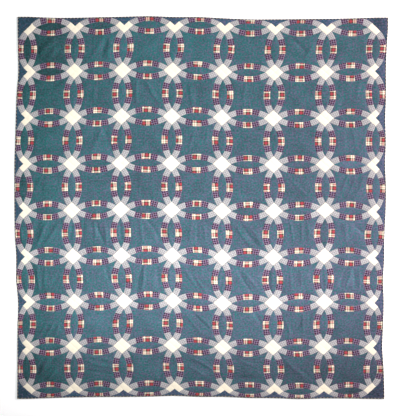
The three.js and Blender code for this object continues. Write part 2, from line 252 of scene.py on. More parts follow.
# ring centres, a four-sided patch between the outer arc edges
shareAt = np.concatenate([[0]] + [ring["seamsOut"][p] + (ring["seamsOut"][p + 1] - ring["seamsOut"][p])
                                  * stations(ring["along"][p])[1:] for p in range(5)])
rimA, rimO = outerEdge(shareAt)
rimS = (rimA - rimA[0]) / (rimA[-1] - rimA[0])
low = ring["reach"] / 2
sideways = (1 - rimS)[:, None] * rimO[None, :] + rimS[:, None] * (1 - rimO)[None, :]
centreU = rimA[:, None] + sideways - ((1 - rimS) * low + rimS * (1 - low))[:, None]
centreV = centreU.T.copy()
gaps = [centreU - outerOff(centreV), 1 - centreU - outerOff(centreV),
        centreV - outerOff(centreU), 1 - centreV - outerOff(centreU)]
gaps = [g * cell for g in gaps]
centreLift = np.prod([rise(g, 9.0) for g in gaps], axis=0)
crown = np.exp(-((centreU - 0.5) ** 2 + (centreV - 0.5) ** 2) / 0.05)
uprightGap, levelGap = np.minimum(gaps[0], gaps[1]), np.minimum(gaps[2], gaps[3])
for i in range(columnCount):
    for j in range(rowCount):
        seed = rng.uniform(0, 90)
        lift = puff["centre"] * centreLift * rng.uniform(0.88, 1.12) + puff["crown"] * crown
        lift = lift + puckers(centreV * cell, centreU * cell, uprightGap, seed) * np.exp(-uprightGap / 40)
        lift = lift + puckers(centreU * cell, centreV * cell, levelGap, seed + 3) * np.exp(-levelGap / 40)
        spotU, spotV = centreU + i, centreV + j
        broad = noise(spotU * 4.5, spotV * 2.6, 5) + 0.6 * noise(spotU * 9, spotV * 6, 6)
        lift = lift + 0.8 * broad * centreLift
        keep("centre", spotU, spotV, lift, (spotU * cell, spotV * cell), rng.normal(0, 1))

# small cream squares on point round each crossing
squareP, squareQ = np.meshgrid(acrossAt, acrossAt, indexing="ij")
squareSide = ring["reach"] / math.sqrt(2) * cell
squareLift = puff["square"] * np.prod([1 - 0.8 * np.exp(-e * squareSide / 4.0) for e in
                                       (squareP, 1 - squareP, squareQ, 1 - squareQ)], axis=0)
squareLift = squareLift - squareLift.min() * 0.6
for i in range(columnCount + 1):
    for j in range(rowCount + 1):
        for toU, toV in ((1, 0), (0, 1), (-1, 0), (0, -1)):
            if not (0 <= i + toU <= columnCount and 0 <= j + toV <= rowCount):
                continue  # none past the edge
            u = low * (squareP * (toU - toV) + squareQ * (toU + toV)) + i
            v = low * (squareP * (toV + toU) + squareQ * (toV - toU)) + j
            lift = squareLift * rng.uniform(0.85, 1.15)
            keep("cream", u, v, lift, (squareP * squareSide, squareQ * squareSide), rng.normal(0, 1))


# ground filling the edge between the rings
def edgeChain(depth):  # from the crossing down to the cut edge: along, off
    share = np.interp(depth, outerEdge(np.linspace(0, 0.5, 400))[1], np.linspace(0, 0.5, 400))
    n = 6 if depth < 0.15 else 14
    a, o = outerEdge(np.linspace(0, share, n + 1))
    return np.concatenate([stations(8)[:-1] * low, a]), np.concatenate([stations(8)[:-1] * low, o])


fillAt = stations(9)


def layFill(insideU, insideV, outsideU, outsideV):
    u = insideU[:, None] + (outsideU - insideU)[:, None] * fillAt
    v = insideV[:, None] + (outsideV - insideV)[:, None] * fillAt
    gap = np.hypot(u - insideU[:, None], v - insideV[:, None]) * cell
    lift = puff["fill"] * rise(gap, 7) + puckers(u * cell, v * cell, gap, 11)
    keep("fill", u, v, lift, (u * cell, v * cell), rng.normal(0, 1))


for name, last in (("bottom", columnCount), ("top", columnCount), ("left", rowCount), ("right", rowCount)):
    a, o = edgeChain(cut[name])
    a, o = np.concatenate([-a[:0:-1], a]), np.concatenate([o[:0:-1], o])
    for k in range(1, last):
        off = edges[name] + 0 * a
        ends = {"bottom": (a + k, -o, a + k, off), "top": (a + k, rowCount + o, a + k, off),
                "left": (-o, a + k, off, a + k), "right": (columnCount + o, a + k, off, a + k)}
        layFill(*ends[name])
for signU, nameU, baseU in ((-1, "left", 0), (1, "right", columnCount)):
    for signV, nameV, baseV in ((-1, "bottom", 0), (1, "top", rowCount)):
        av, ov = edgeChain(cut[nameV])  # along the end edge
        au, ou = edgeChain(cut[nameU])  # along the side edge
        insideU = np.concatenate([av[::-1], -ou[1:]])
        insideV = np.concatenate([-ov[::-1], au[1:]])
        cutU, cutV = cut[nameU], cut[nameV]
        outsideU = np.concatenate([-cutU + (av[-1] + cutU) * av[::-1] / av[-1], -cutU + 0 * au[1:]])
        outsideV = np.concatenate([-cutV + 0 * av, -cutV + (au[-1] + cutV) * au[1:] / au[-1]])
        layFill(baseU - signU * insideU, baseV - signV * insideV,
                baseU - signU * outsideU, baseV - signV * outsideV)
print("all patches:", {k: len(b) for k, b in bins.items()})

# broad swells, in rings: column, row, across, along, mm
swells = [(4.6, 2.3, 3.4, 0.9, 1.1), (1.2, 3.6, 1.3, 0.8, 0.9), (6.4, 4.9, 0.9, 1.6, 0.8),
          (3.1, 6.2, 2.0, 1.1, 0.5), (0.8, 0.7, 1.1, 0.8, 0.7), (5.7, 7.4, 1.5, 0.7, 0.6)]

# creases by ring column and row, mm: across and up from its middle, heading in degrees, length, width, rise
creases = {
    (0, 7): [(-25, 17, 50, 170, 20, 5.2), (2, -29, 48, 110, 16, 3.2)],
    (1, 7): [(-12, -2, 62, 150, 15, 3.4), (31, -2, 80, 140, 12, -2.8), (62, -6, 86, 150, 12, 2.8)],
    (2, 7): [(34, 32, 40, 90, 12, 1.2)],
    (5, 7): [(-9, 25, -50, 140, 14, -3.2), (45, -14, 60, 110, 12, 3.2)],
    (0, 6): [(-6, 52, 24, 150, 14, -8.5)],
    (1, 6): [(-20, 0, 85, 130, 14, 1.6)],
    (2, 6): [(-64, 9, 91, 150, 10, 2.9), (26, 14, -57, 160, 13, 3.6)],
    (3, 6): [(-40, 2, 92, 160, 14, 3.2), (6, 17, 85, 130, 12, -1.6)],
    (4, 6): [(-28, 9, 76, 140, 11, 2.4)],
    (6, 6): [(48, 40, 70, 100, 12, 2.0), (-53, -53, 60, 100, 12, -2.0)],
    (0, 5): [(-76, -14, 75, 120, 12, 2.4)],
    (1, 5): [(0, 0, 69, 170, 14, 3.2), (73, -14, 105, 150, 13, -2.5)],
    (3, 5): [(-37, -6, 75, 120, 9, 3.0), (56, 2, 88, 110, 9, 1.2)],
    (6, 5): [(-40, 0, 90, 150, 11, 1.4), (22, 17, 95, 150, 11, 1.6)],
    (0, 4): [(-53, 26, 65, 90, 9, 1.6), (-10, 30, 68, 90, 9, 1.4)],
    (2, 4): [(-43, 0, 92, 140, 8, 1.6), (34, 0, 90, 140, 8, 1.4)],
    (5, 4): [(-25, 19, -42, 130, 8, 1.4), (29, -36, -45, 120, 8, 1.4)],
    (6, 4): [(-40, 19, 66, 130, 8, 2.4), (9, 26, 66, 130, 8, 2.4), (59, 26, 66, 120, 8, 2.2)],
    (0, 3): [(-74, 26, 75, 140, 10, -5.3), (-48, -25, 65, 160, 10, 6.0), (20, -9, 58, 170, 13, 5.3),
             (141, 3, 75, 120, 10, -5.8), (-164, 3, 97, 130, 10, 4.3)],
    (1, 3): [(-77, 19, 85, 120, 9, -3.6), (-11, 26, 95, 130, 9, 3.6), (23, 3, 110, 130, 9, -3.9),
             (57, -5, 100, 130, 9, 3.9), (155, 3, 95, 120, 10, -4.7)],
    (2, 3): [(42, 26, -58, 160, 12, -5.4), (-28, 3, 92, 130, 11, 3.8), (135, 0, 92, 130, 14, 6.0)],
    (3, 3): [(-38, 8, 88, 140, 10, 2.6), (6, 14, 92, 150, 9, -3.2), (46, 6, 95, 130, 9, 2.4)],
    (4, 3): [(14, -5, -52, 190, 10, -3.4), (-17, -20, -52, 180, 10, 3.4), (56, -12, -55, 150, 9, 2.4)],
    (5, 3): [(-48, 19, 93, 120, 8, 3.0), (14, 19, 90, 120, 8, 3.0), (60, 19, 88, 120, 8, 3.0)],
    (6, 3): [(-29, 3, 90, 120, 14, 3.6), (64, 26, -40, 120, 10, -3.6)],
    (0, 2): [(-65, 8, 92, 140, 9, 3.9), (-25, 8, 92, 140, 9, 3.6), (40, 0, 60, 130, 10, -3.6)],
    (1, 2): [(62, 51, 105, 130, 9, -6.0), (-73, 39, 88, 120, 9, 3.6)],
    (2, 2): [(-46, -8, 74, 180, 9, -5.2), (-23, -8, 82, 180, 9, 5.8), (73, -8, 90, 160, 12, -3.9),
             (143, -8, 95, 120, 9, 3.8)],
    (3, 2): [(-37, 8, -52, 150, 9, 2.8), (33, -39, -52, 130, 9, 2.8), (152, -8, 75, 110, 9, -5.2)],
    (4, 2): [(-12, -8, -55, 170, 9, -4.1), (29, -8, -55, 150, 9, 2.6), (156, 0, 92, 120, 10, 3.4)],
    (5, 2): [(-48, 0, 92, 150, 10, 3.1), (14, -8, 90, 140, 10, 2.4), (155, 0, 90, 110, 10, -3.2)],
    (6, 2): [(-33, 15, 70, 120, 9, -4.7), (0, 8, 75, 120, 8, 4.3), (33, 15, 95, 120, 9, -3.9),
             (64, 8, 95, 130, 8, 4.7)],
    (0, 1): [(-50, -39, 62, 90, 8, 4.5), (-6, -39, 62, 90, 8, 4.5), (40, -36, 65, 90, 8, 4.0)],
    (1, 1): [(0, 0, 0, 170, 45, 2.5), (-30, -60, 70, 70, 9, 1.6)],
    (3, 1): [(9, 31, -48, 170, 9, -2.3), (-19, -8, -48, 160, 9, 2.0), (48, 8, -50, 140, 8, 1.5)],
    (4, 1): [(60, 46, -60, 80, 9, -4.8)],
    (5, 1): [(-71, -8, -70, 140, 9, 3.4), (-20, -39, 60, 120, 9, -3.1), (29, 15, 85, 140, 9, 3.4),
             (73, 39, 80, 100, 9, -4.1)],
    (6, 1): [(2, -23, 42, 130, 10, -5.2), (-37, 8, 45, 120, 9, 4.2)],
    (0, 0): [(-45, -3, 62, 160, 13, 8.5), (2, -42, 50, 110, 9, 4.2)],
    (1, 0): [(15, 59, -14, 150, 9, 3.3), (8, 20, -15, 160, 9, 2.6), (0, -26, -4, 150, 10, -3.2)],
    (2, 0): [(80, -3, 85, 140, 14, -3.2)],
    (3, 0): [(37, 20, -28, 180, 9, 3.0), (-14, -19, -30, 150, 9, 1.8)],
    (4, 0): [(0, -57, 3, 150, 12, -3.0), (-17, 43, -20, 100, 10, 2.1)],
    (5, 0): [(-30, 10, -40, 150, 11, 1.8), (34, -14, -42, 130, 10, -1.6)],
    (6, 0): [(-37, -11, 60, 110, 10, 2.6)],
}


trough = dict(floor=2.4, soft=0.8)


def settle(u, v, lift):  # pattern places and padding to the lying quilt, metres
    x, y = lie(u, v)
    lift = lift * rise(insideBy(u, v) * cell, 7)
    share = np.clip(lift / 1.1, 0.2, 1)
    z = puff["ditch"] + lift
    for column, row, across, along, height in swells:
        z = z + height * share * np.exp(-((u - column) / across) ** 2 - ((v - row) / along) ** 2)
    for (column, row), folds in creases.items():
        middle = lie(column + 0.5, row + 0.5)
        near = np.flatnonzero(np.hypot(x - middle[0], y - middle[1]) < 0.28)
        for across, up, heading, length, width, height in folds:
            turn = math.radians(heading)
            dx, dy = (x[near] - middle[0]) * 1000 - across, (y[near] - middle[1]) * 1000 - up
            along = dx * math.cos(turn) + dy * math.sin(turn)
            over = -dx * math.sin(turn) + dy * math.cos(turn) + 4 * np.sin(along / 38 + across)
            z[near] += height * share[near] * np.exp(-(over / width) ** 2 - (2 * along / length) ** 4)
    over = z - trough["floor"]
    z = trough["floor"] + 0.5 * (over + np.sqrt(over ** 2 + trough["soft"]))  # no trough reaches the back
    return np.stack([x, y, z / 1000], -1)


# teal painted darker at the corners and edges (painted shade where the light falls off) and paler across the
# middle (painted light), with smaller paler and darker spots: column, row, across, along, tone
paintedShadeAndTone = [(0.3, 7.7, 0.9, 0.7, -7), (0.5, 7.0, 0.7, 0.9, -6), (0.8, 8.0, 0.9, 0.3, -5),
        (0.0, 4.0, 0.25, 8.0, -4), (7.1, 8.1, 0.35, 0.35, -11), (-0.1, -0.1, 0.35, 0.35, -9),
        (7.1, -0.1, 0.35, 0.35, -8), (0.3, 0.4, 0.6, 0.5, -6), (6.8, 0.3, 0.8, 0.6, -9),
        (5.4, 0.4, 1.0, 0.5, -5), (4.2, 0.4, 0.8, 0.4, -3), (2.5, 4.5, 0.6, 0.6, -4),
        (3.5, 2.6, 3.6, 1.2, 3), (2.6, 1.9, 2.2, 0.9, 2), (2.8, 7.5, 1.4, 0.6, 4),
        (1.4, 1.4, 0.6, 0.6, 6), (4.8, 1.5, 1.0, 0.5, 4), (6.6, 5.2, 0.6, 1.0, 6),
        (6.5, 2.5, 0.5, 0.5, 5), (6.6, 3.6, 0.6, 1.0, 4)]


sheenSpread = dict(across=0.30, top=0.27, left=0.25, bottom=0.07, base=0.03)


def paintedSheen(u, v):  # painted sheen: the teal drawn towards its blue-grey weft to the right, as the light's sheen, and less so at the top, left and bottom
    topLess, leftLess = np.exp(-((v - rowCount) / 2.4) ** 2), np.exp(-(u / 0.7) ** 2)
    bottomLess = np.exp(-(v / 0.7) ** 2)
    lessSheen = sheenSpread["top"] * topLess + sheenSpread["left"] * leftLess + sheenSpread["bottom"] * bottomLess
    return sheenSpread["across"] * (u / columnCount - 0.5) - lessSheen + sheenSpread["base"]


def sew(name, clip=False, weld=False):  # joins a cloth's patches into one piece
    counts = [g[0].shape for g in bins[name]]
    u, v, z, cx, cy = (np.concatenate([g[k].ravel() for g in bins[name]]) for k in range(5))
    tone = np.concatenate([np.full(n * m, g[5]) for (n, m), g in zip(counts, bins[name])])
    if name in ("centre", "lens", "fill"):
        # painted shade at the teal's corners and edges and painted light across its middle, added into the
        # tone
        for column, row, across, along, much in paintedShadeAndTone:
            tone = tone + much * np.exp(-((u - column) / across) ** 2 - ((v - row) / along) ** 2)
    faces, start = [], 0
    for (n, m), g in zip(counts, bins[name]):
        k = np.arange(n * m).reshape(n, m) + start
        quad = np.stack([k[:-1, :-1], k[1:, :-1], k[1:, 1:], k[:-1, 1:]], -1).reshape(-1, 4)
        gu, gv = g[0], g[1]
        area = ((gu[1:, :-1] - gu[:-1, :-1]) * (gv[:-1, 1:] - gv[:-1, :-1])
                - (gv[1:, :-1] - gv[:-1, :-1]) * (gu[:-1, 1:] - gu[:-1, :-1])).sum()
        faces.append(quad if area > 0 else quad[:, ::-1])
        start += n * m
    faces = np.concatenate(faces)
    mesh = bpy.data.meshes.new(name)
    mesh.vertices.add(len(u))
    mesh.vertices.foreach_set("co", np.stack([u, v, z], -1).ravel())
    mesh.loops.add(faces.size)
    mesh.loops.foreach_set("vertex_index", faces.ravel())
    mesh.polygons.add(len(faces))
    mesh.polygons.foreach_set("loop_start", np.arange(0, faces.size, 4))
    mesh.update(calc_edges=True)
    cloth = mesh.uv_layers.new(name="cloth")
    cloth.data.foreach_set("uv", np.stack([cx, cy], -1)[faces.ravel()].ravel() / 1000)
    mesh.attributes.new("tone", "FLOAT", "POINT").data.foreach_set("value", tone)
    # painted sheen stored per point: a share of the weft colour that grows to the right
    mesh.attributes.new("paintedSheen", "FLOAT", "POINT").data.foreach_set("value", paintedSheen(u, v))
    if clip or weld:
        bm = bmesh.new()
        bm.from_mesh(mesh)
        if clip:
            planes = [((edges["left"], 0, 0), (-1, 0, 0)), ((edges["right"], 0, 0), (1, 0, 0)),
                      ((0, edges["bottom"], 0), (0, -1, 0)), ((0, edges["top"], 0), (0, 1, 0))]
            for spot, out in planes:
                bmesh.ops.bisect_plane(bm, geom=bm.verts[:] + bm.edges[:] + bm.faces[:], dist=1e-6,
                                       plane_co=spot, plane_no=out, clear_outer=True)
        if weld:
            bmesh.ops.remove_doubles(bm, verts=bm.verts[:], dist=2e-5)
            bmesh.ops.dissolve_degenerate(bm, edges=bm.edges[:], dist=1e-6)
        bm.to_mesh(mesh)
        bm.free()
    flat = np.empty(len(mesh.vertices) * 3)
    mesh.vertices.foreach_get("co", flat)
    flat = flat.reshape(-1, 3)
    mesh.vertices.foreach_set("co", settle(flat[:, 0], flat[:, 1], flat[:, 2]).ravel())
    mesh.polygons.foreach_set("use_smooth", np.ones(len(mesh.polygons), bool))
    mesh.update()
    return mesh


def place(mesh, name, look):
    piece = bpy.data.objects.new(name, mesh)
    scene.collection.objects.link(piece)
    mesh.materials.append(look)
    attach(piece, "root")
    return piece


# shader helpers
def calc(tree, how, a, b=None, c=None):
    node = tree.nodes.new("ShaderNodeMath")
    node.operation = how
    for k, x in enumerate((a, b, c)):
        if isinstance(x, bpy.types.NodeSocket):
            tree.links.new(x, node.inputs[k])
        elif x is not None:
            node.inputs[k].default_value = x
    return node.outputs[0]


def blend(tree, share, a, b, how="MIX"):
    node = tree.nodes.new("ShaderNodeMix")
    node.data_type = "RGBA"
    node.blend_type = how
    for k, x in ((0, share), (6, a), (7, b)):
        if isinstance(x, bpy.types.NodeSocket):
            tree.links.new(x, node.inputs[k])
        else:
            node.inputs[k].default_value = x if k == 0 else (*x, 1)
    return node.outputs[2]


def newGroup(name, ins, outs):
    tree = bpy.data.node_groups.new(name, "ShaderNodeTree")
    for label, kind, start in ins:
        socket = tree.interface.new_socket(name=label, in_out="INPUT", socket_type=kind)
        if start is not None:
            socket.default_value = start
    for label, kind in outs:
        tree.interface.new_socket(name=label, in_out="OUTPUT", socket_type=kind)
    return tree, tree.nodes.new("NodeGroupInput").outputs, tree.nodes.new("NodeGroupOutput").inputs


def useGroup(tree, group, **values):
    node = tree.nodes.new("ShaderNodeGroup")
    node.node_tree = group
    for label, x in values.items():
        if isinstance(x, bpy.types.NodeSocket):
            tree.links.new(x, node.inputs[label])
        else:
            node.inputs[label].default_value = x
    return node.outputs


def speckle(tree, where, scale, detail):
    node = tree.nodes.new("ShaderNodeTexNoise")
    node.inputs["Scale"].default_value = scale
    node.inputs["Detail"].default_value = detail
    tree.links.new(where, node.inputs["Vector"])
    return node.outputs["Fac"]


# plain weave: over and under threads
weave, gIn, gOut = newGroup("plainWeave",
                            [("Cloth", "NodeSocketVector", None), ("Pitch", "NodeSocketFloat", 0.0011)],
                            [("Height", "NodeSocketFloat")])
axes = weave.nodes.new("ShaderNodeSeparateXYZ")
weave.links.new(gIn["Cloth"], axes.inputs[0])
turnRate = calc(weave, "DIVIDE", math.pi, gIn["Pitch"])
overX = calc(weave, "SINE", calc(weave, "MULTIPLY", axes.outputs[0], turnRate))
overY = calc(weave, "SINE", calc(weave, "MULTIPLY", axes.outputs[1], turnRate))
weave.links.new(calc(weave, "MULTIPLY_ADD", calc(weave, "MULTIPLY", overX, overY), 0.5, 0.5), gOut["Height"])

# uneven dye and washing, and each patch's own tone, which on the teal also carries painted light and shade
wearAndLit, gIn, gOut = newGroup("washedAndLit", [("Cloth", "NodeSocketVector", None), ("Tone", "NodeSocketFloat", 0.0),
                                      ("Patch", "NodeSocketFloat", 0.04), ("Mottle", "NodeSocketFloat", 0.2)],
                           [("Shade", "NodeSocketFloat")])
coarse = calc(wearAndLit, "MULTIPLY", speckle(wearAndLit, gIn["Cloth"], 12, 4), 0.9)
fine = calc(wearAndLit, "MULTIPLY", speckle(wearAndLit, gIn["Cloth"], 95, 1), 1.7)
both = calc(wearAndLit, "SUBTRACT", calc(wearAndLit, "ADD", coarse, fine), 1.3)
mottled = calc(wearAndLit, "MULTIPLY_ADD", both, gIn["Mottle"], 1.0)
wearAndLit.links.new(calc(wearAndLit, "ADD", mottled, calc(wearAndLit, "MULTIPLY", gIn["Tone"], gIn["Patch"])), gOut["Shade"])

# one stripe of a repeat: 1 inside it
stripe, gIn, gOut = newGroup("stripe",
                             [("Place", "NodeSocketFloat", 0.0), ("Repeat", "NodeSocketFloat", 0.04),
                              ("Start", "NodeSocketFloat", 0.0), ("Width", "NodeSocketFloat", 0.01)],
                             [("Inside", "NodeSocketFloat")])
past = calc(stripe, "SUBTRACT", gIn["Place"], gIn["Start"])
share = calc(stripe, "FRACT", calc(stripe, "DIVIDE", past, gIn["Repeat"]))
wide = calc(stripe, "DIVIDE", gIn["Width"], gIn["Repeat"])
stripe.links.new(calc(stripe, "LESS_THAN", share, wide), gOut["Inside"])


def srgb(r, g, b):
    return tuple(((c / 255 + 0.055) / 1.055) ** 2.4 if c > 10 else c / 255 / 12.92 for c in (r, g, b))


def newCloth(name, rough, patch, mottle, relief):
    look = bpy.data.materials.new(name)
    look.use_nodes = True
    tree = look.node_tree
    shader = tree.nodes["Principled BSDF"]
    shader.inputs["Roughness"].default_value = rough
    shader.inputs["Specular IOR Level"].default_value = 0.3
    shader.inputs["Sheen Weight"].default_value = 0.08
    shader.inputs["Sheen Roughness"].default_value = 0.6
    where = tree.nodes.new("ShaderNodeUVMap")
    where.uv_map = "cloth"
    tone = tree.nodes.new("ShaderNodeAttribute")
    tone.attribute_name = "tone"
    height = useGroup(tree, weave, Cloth=where.outputs[0])["Height"]
    bump = tree.nodes.new("ShaderNodeBump")
    bump.inputs["Strength"].default_value = relief
    bump.inputs["Distance"].default_value = 0.0003
    tree.links.new(height, bump.inputs["Height"])
    tree.links.new(bump.outputs[0], shader.inputs["Normal"])
    wearAndLitOut = useGroup(tree, wearAndLit, Cloth=where.outputs[0], Tone=tone.outputs["Fac"], Patch=patch,
                      Mottle=mottle)
    shade = wearAndLitOut["Shade"]
    split = tree.nodes.new("ShaderNodeSeparateXYZ")
    tree.links.new(where.outputs[0], split.inputs[0])
    return look, tree, shader, shade, split.outputs[0], split.outputs[1], height


def clothAt(tree):
    return next(node for node in tree.nodes if node.type == "UVMAP").outputs[0]


def stretch(tree, scale):  # cloth places drawn out along one thread
    node = tree.nodes.new("ShaderNodeMapping")
    node.inputs["Scale"].default_value = (*scale, 1)
    tree.links.new(clothAt(tree), node.inputs[0])
    return node.outputs[0]


def dye(tree, shader, colour, shade):
    grey = tree.nodes.new("ShaderNodeCombineColor")
    for k in range(3):
        tree.links.new(shade, grey.inputs[k])
    tree.links.new(blend(tree, 1.0, colour, grey.outputs[0], "MULTIPLY"), shader.inputs["Base Color"])


def barsOn(tree, places, **size):  # stripes across each of the threads
    return [useGroup(tree, stripe, Place=c, **size)["Inside"] for c in places]


# ground cloths: green warp and blue-grey weft that show unevenly, with a painted sheen drawing more of the
# weft to the right
def groundCloth(name, warp, weft, fleck, slub):
    look, tree, shader, shade, x, y, height = newCloth(name, 0.8, 0.03, 0.8, 0.3)
    flecks = speckle(tree, clothAt(tree), fleck, 1)
    lines = [speckle(tree, stretch(tree, k), 1.0, 2) for k in (slub, slub[::-1])]
    slubs = calc(tree, "MULTIPLY", calc(tree, "ADD", *lines), 0.8)
    mixed = calc(tree, "ADD", calc(tree, "MULTIPLY", flecks, 2.4), slubs)
    share = tree.nodes.new("ShaderNodeMapRange")
    tree.links.new(mixed, share.inputs[0])
    share.inputs[1].default_value, share.inputs[2].default_value = 1.7, 2.3
    share.clamp = False
    # painted sheen: a bias per point pushes the colour towards the weft, more to the right
    sheenBias = tree.nodes.new("ShaderNodeAttribute")
    sheenBias.attribute_name = "paintedSheen"
    weftAndSheenShare = calc(tree, "ADD", share.outputs[0], sheenBias.outputs["Fac"])
    weftAndSheenShare.node.use_clamp = True
    dye(tree, shader, blend(tree, weftAndSheenShare, warp, weft), shade)
    return look


teal = dict(warp=srgb(26, 93, 96), weft=srgb(81, 81, 107), fleck=88, slub=(9, 120))
tealLook = groundCloth("tealCotton", **teal)
edgeTeal = dict(warp=srgb(34, 76, 96), weft=srgb(88, 86, 116), fleck=88, slub=(9, 120))
edgeTealLook = groundCloth("edgeTealCotton", **edgeTeal)

cream = dict(base=srgb(250, 241, 221), weft=srgb(245, 234, 211))
creamLook, tree, shader, shade, x, y, height = newCloth("creamCotton", 0.85, 0.012, 0.08, 0.3)
dye(tree, shader, blend(tree, height, cream["base"], cream["weft"]), shade)

grey = dict(dark=srgb(136, 134, 137), pale=srgb(190, 187, 189), pitch=0.0112)
greyLook, tree, shader, shade, x, y, height = newCloth("greyMicroCheck", 0.85, 0.03, 0.3, 0.3)
bars = barsOn(tree, (x, y), Repeat=grey["pitch"], Width=grey["pitch"] / 2)
paleness = calc(tree, "MULTIPLY", calc(tree, "ADD", *bars), 0.5)
dye(tree, shader, blend(tree, paleness, grey["dark"], grey["pale"]), shade)

check = dict(maroon=srgb(62, 4, 38), navy=srgb(34, 8, 54), pale=srgb(148, 128, 154), pitch=0.013, line=0.0044)
checkLook, tree, shader, shade, x, y, height = newCloth("navyMaroonCheck", 0.85, 0.03, 0.3, 0.3)
bars = barsOn(tree, (x, y), Repeat=check["pitch"], Width=check["line"])
rows = barsOn(tree, (x, y), Repeat=2 * check["pitch"], Width=check["pitch"])
dark = blend(tree, calc(tree, "ABSOLUTE", calc(tree, "SUBTRACT", *rows)), check["maroon"], check["navy"])
paleness = calc(tree, "MULTIPLY", calc(tree, "ADD", *bars), 0.5)
dye(tree, shader, blend(tree, paleness, dark, check["pale"]), shade)

# cream plaid: red between olive lines, woven both ways; bands start, width
plaid = dict(cream=srgb(243, 236, 211), red=srgb(173, 56, 72), olive=srgb(60, 56, 40), repeat=0.048,
             oliveBands=((-0.0140, 0.0082), (0.0058, 0.0082)), redBands=((-0.0058, 0.0116), (0.0220, 0.0040)))
plaidLook, tree, shader, shade, x, y, height = newCloth("creamPlaid", 0.85, 0.02, 0.15, 0.3)
threads = []
for c in (x, y):
    yarn = plaid["cream"]
    for dyed, bands in ((plaid["olive"], plaid["oliveBands"]), (plaid["red"], plaid["redBands"])):
        for start, width in bands:
            band = barsOn(tree, (c,), Repeat=plaid["repeat"], Start=start, Width=width)[0]
            yarn = blend(tree, band, yarn, dyed)
    threads.append(yarn)
dye(tree, shader, blend(tree, 0.5, *threads), shade)

edging = dict(dark=srgb(38, 36, 58), pale=srgb(158, 148, 122), repeat=0.021, width=0.007)
edgeLook, tree, shader, shade, x, y, height = newCloth("edgingPlaid", 0.85, 0.0, 0.3, 0.3)
bars = barsOn(tree, (x,), Repeat=edging["repeat"], Width=edging["width"])[0]
dye(tree, shader, blend(tree, bars, edging["dark"], edging["pale"]), shade)

backing = dict(base=srgb(232, 224, 206), weft=srgb(222, 213, 194))
backLook, tree, shader, shade, x, y, height = newCloth("backingCotton", 0.88, 0.0, 0.1, 0.3)
dye(tree, shader, blend(tree, height, backing["base"], backing["weft"]), shade)
print("cloths ready")

# face of the quilt, one piece for each cloth
facePieces = [
    place(sew("centre"), "ring_centres", tealLook),
    place(sew("lens", weld=True), "lens_patches", tealLook),
    place(sew("fill", weld=True), "edge_fill", edgeTealLook),
    place(sew("cream"), "cream_squares", creamLook),
    place(sew("grey", clip=True), "grey_patches", greyLook),
    place(sew("check", clip=True), "check_patches", checkLook),
    place(sew("plaid", clip=True), "plaid_patches", plaidLook),
]
for piece in facePieces:
    print(piece.name, sum(len(f.vertices) - 2 for f in piece.data.polygons), "triangles")

# quilting stitches in the seams on both sides of each arc, mm
stitch = dict(pitch=9.0, long=5.4, wide=0.5, tall=0.34, clear=0.022,
              warp=srgb(112, 124, 124), weft=srgb(84, 98, 102))
threadLook, tree, shader, shade, x, y, height = newCloth("quiltingThread", 0.7, 0.03, 0.3, 0.3)
dye(tree, shader, blend(tree, height, stitch["warp"], stitch["weft"]), shade)
needle = [[], [], [], [], []]  # each stitch's start and end in the pattern, and its lift
for edgeOf, lift in ((innerEdge, 0.08), (outerEdge, 0.28)):
    a, o = edgeOf(np.linspace(0, 1, 200))
    run = np.concatenate([[0], np.cumsum(np.hypot(np.diff(a), np.diff(o)))]) * cell
    count = int(run[-1] / stitch["pitch"])
    at = (np.arange(count) + 0.5) * run[-1] / count
    half = stitch["long"] / 2
    ends = [np.stack([np.interp(at + k, run, a), np.interp(at + k, run, o)]) for k in (-half, half)]
    for turn in range(4):
        spots = [(i, j) for i in range(columnCount + (turn > 1)) for j in range(rowCount + (turn < 2))]
        for i, j in spots:
            (u0, v0), (u1, v1) = (turns[turn](*end) for end in ends)
            for k, x in enumerate((u0 + i, v0 + j, u1 + i, v1 + j, np.full(count, lift))):
                needle[k].append(x)
u0, v0, u1, v1, lift = (np.concatenate(x) for x in needle)
inside = np.minimum(insideBy(u0, v0), insideBy(u1, v1)) > stitch["clear"]
u0, v0, u1, v1, lift = (x[inside] for x in (u0, v0, u1, v1, lift))
first, last = settle(u0, v0, lift) * 1000, settle(u1, v1, lift) * 1000
aim = last - first
aim = aim / np.linalg.norm(aim, axis=1)[:, None]
sideways = np.stack([-aim[:, 1], aim[:, 0], 0 * aim[:, 0]], -1) * stitch["wide"] / 2
upward = np.array([0, 0, stitch["tall"]])
foot, crest = -0.4 * upward, 0.6 * upward
narrow, tuck = sideways * 0.7, aim * 0.6
points = np.stack([first - sideways + foot, first + sideways + foot,
                   last + sideways + foot, last - sideways + foot,
                   first + tuck - narrow + crest, first + tuck + narrow + crest,
                   last - tuck + narrow + crest, last - tuck - narrow + crest], 1).reshape(-1, 3) / 1000
box = np.array([(0, 1, 2, 3), (4, 7, 6, 5), (0, 4, 5, 1), (1, 5, 6, 2), (2, 6, 7, 3), (3, 7, 4, 0)])
faces = (np.arange(len(u0))[:, None, None] * 8 + box).reshape(-1, 4)
mesh = bpy.data.meshes.new("quilting_stitches")
mesh.from_pydata(points.tolist(), [], faces.tolist())
mesh.uv_layers.new(name="cloth").data.foreach_set("uv", points[faces.ravel(), :2].ravel())
stitches = place(mesh, "quilting_stitches", threadLook)
print(len(u0), "stitches,", 2 * len(faces), "triangles")

